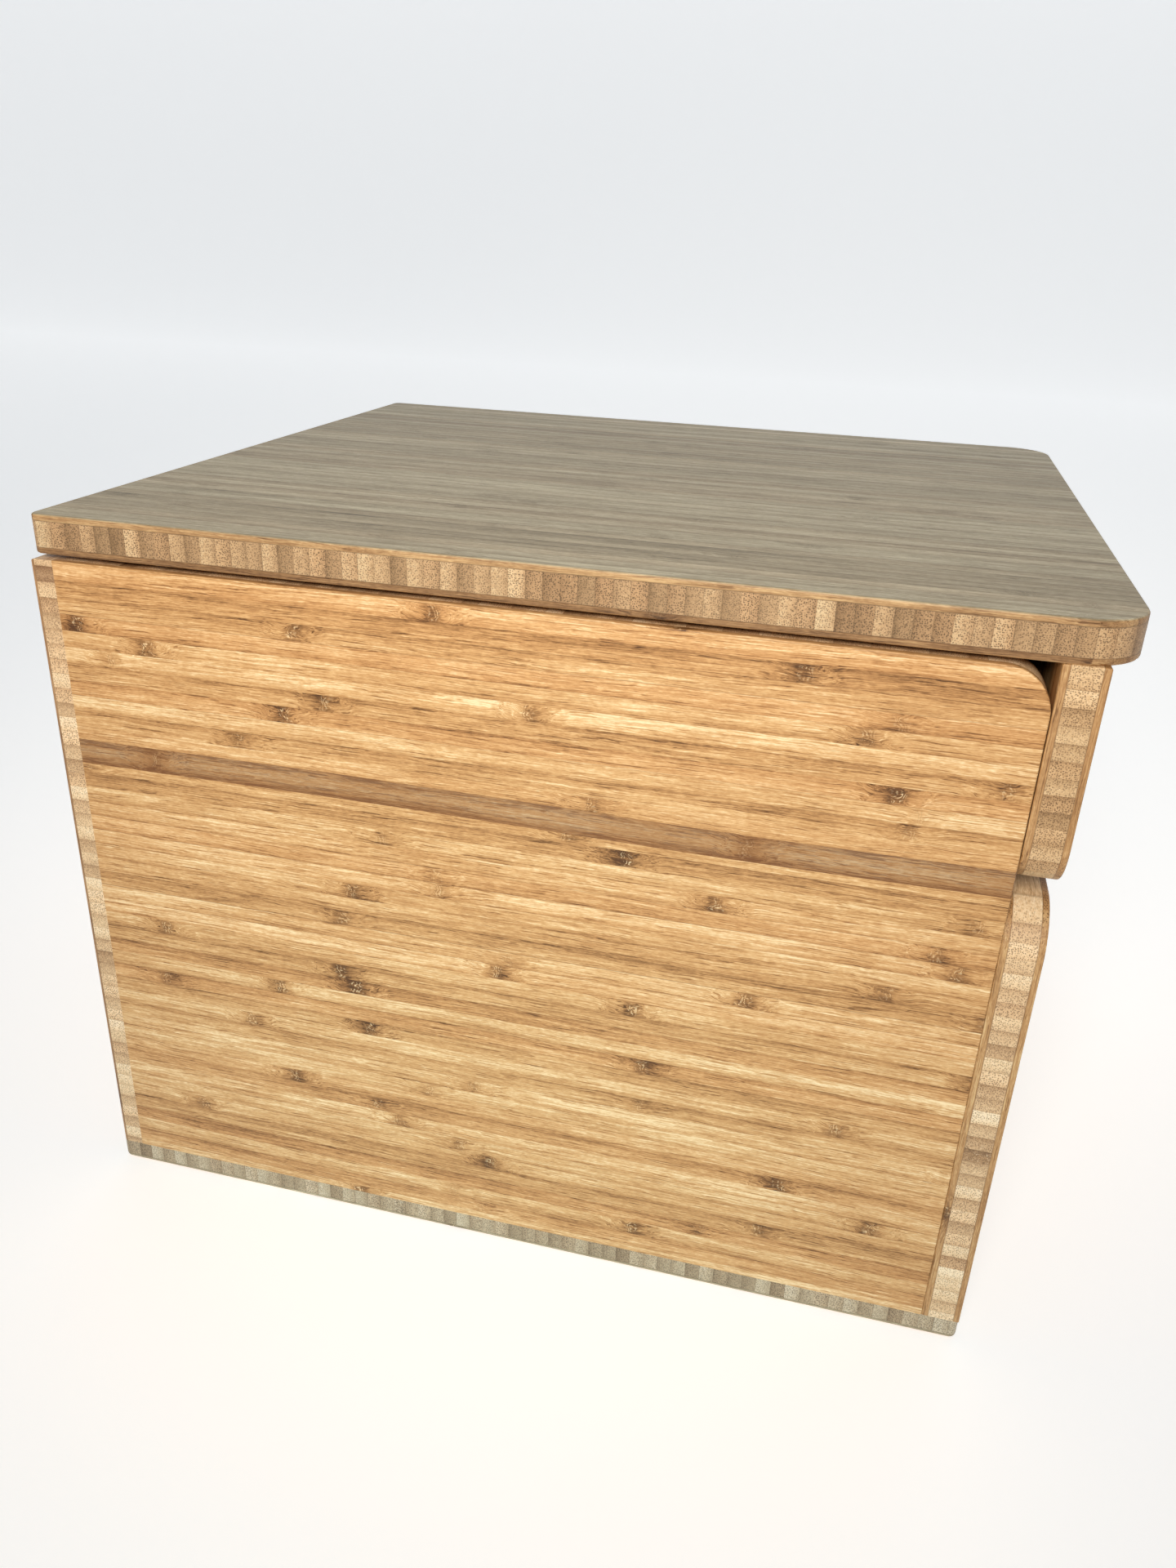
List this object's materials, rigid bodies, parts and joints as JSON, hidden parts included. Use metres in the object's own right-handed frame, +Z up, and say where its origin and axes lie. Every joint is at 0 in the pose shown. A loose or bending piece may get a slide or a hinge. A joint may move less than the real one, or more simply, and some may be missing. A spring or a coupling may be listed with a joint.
{
  "type": "bread box with flip-up lid",
  "caption": "Rectangular bamboo bread box: a rear-hinged lid carries a front flap that closes the upper front, above a fixed lower front.",
  "frame": {"origin": "on the resting surface, under the middle of the whole object's footprint", "axes": "+Z up, +Y to the back where the hinges are, +X to the right as seen from the front"},
  "size_m": [0.3014, 0.3422, 0.262],
  "materials": {
    "bamboo_face": "satin oiled",
    "bamboo_core": "sanded end grain, satin oiled",
    "dowel_beech": "raw",
    "bumper_rubber": "soft, translucent grey",
    "hinge_steel": "nickel plated, satin",
    "pin_steel": "bright drawn",
    "screw_steel": "zinc plated"
  },
  "bodies": {
    "box": {"bottom_lower_ply": "bamboo_face", "bottom_core": "bamboo_core", "bottom_upper_ply": "bamboo_face", "back_outer_ply": "bamboo_face", "back_core": "bamboo_core", "back_inner_ply": "bamboo_face", "left_side_outer_ply": "bamboo_face", "left_side_core": "bamboo_core", "left_side_inner_ply": "bamboo_face", "right_side_outer_ply": "bamboo_face", "right_side_core": "bamboo_core", "right_side_inner_ply": "bamboo_face", "lower_front_outer_ply": "bamboo_face", "lower_front_core": "bamboo_core", "lower_front_inner_ply": "bamboo_face", "lower_front_dowels": "dowel_beech", "lid_bumpers": "bumper_rubber", "left_hinge_lower_leaf": "hinge_steel", "right_hinge_lower_leaf": "hinge_steel", "left_hinge_pin": "pin_steel", "right_hinge_pin": "pin_steel", "lower_hinge_screws": "screw_steel"},
    "lid": {"lid_lower_ply": "bamboo_face", "lid_core": "bamboo_core", "lid_upper_ply": "bamboo_face", "flap_outer_ply": "bamboo_face", "flap_core": "bamboo_core", "flap_inner_ply": "bamboo_face", "flap_dowels": "dowel_beech", "left_hinge_upper_leaf": "hinge_steel", "right_hinge_upper_leaf": "hinge_steel", "upper_hinge_screws": "screw_steel"}
  },
  "joints": [
    {"name": "lid_hinge", "type": "hinge", "parent": "box", "child": "lid", "pos_m": [0, 0.16692, 0.24835], "axis": [-1, 0, 0], "range_deg": [0, 100]}
  ]
}
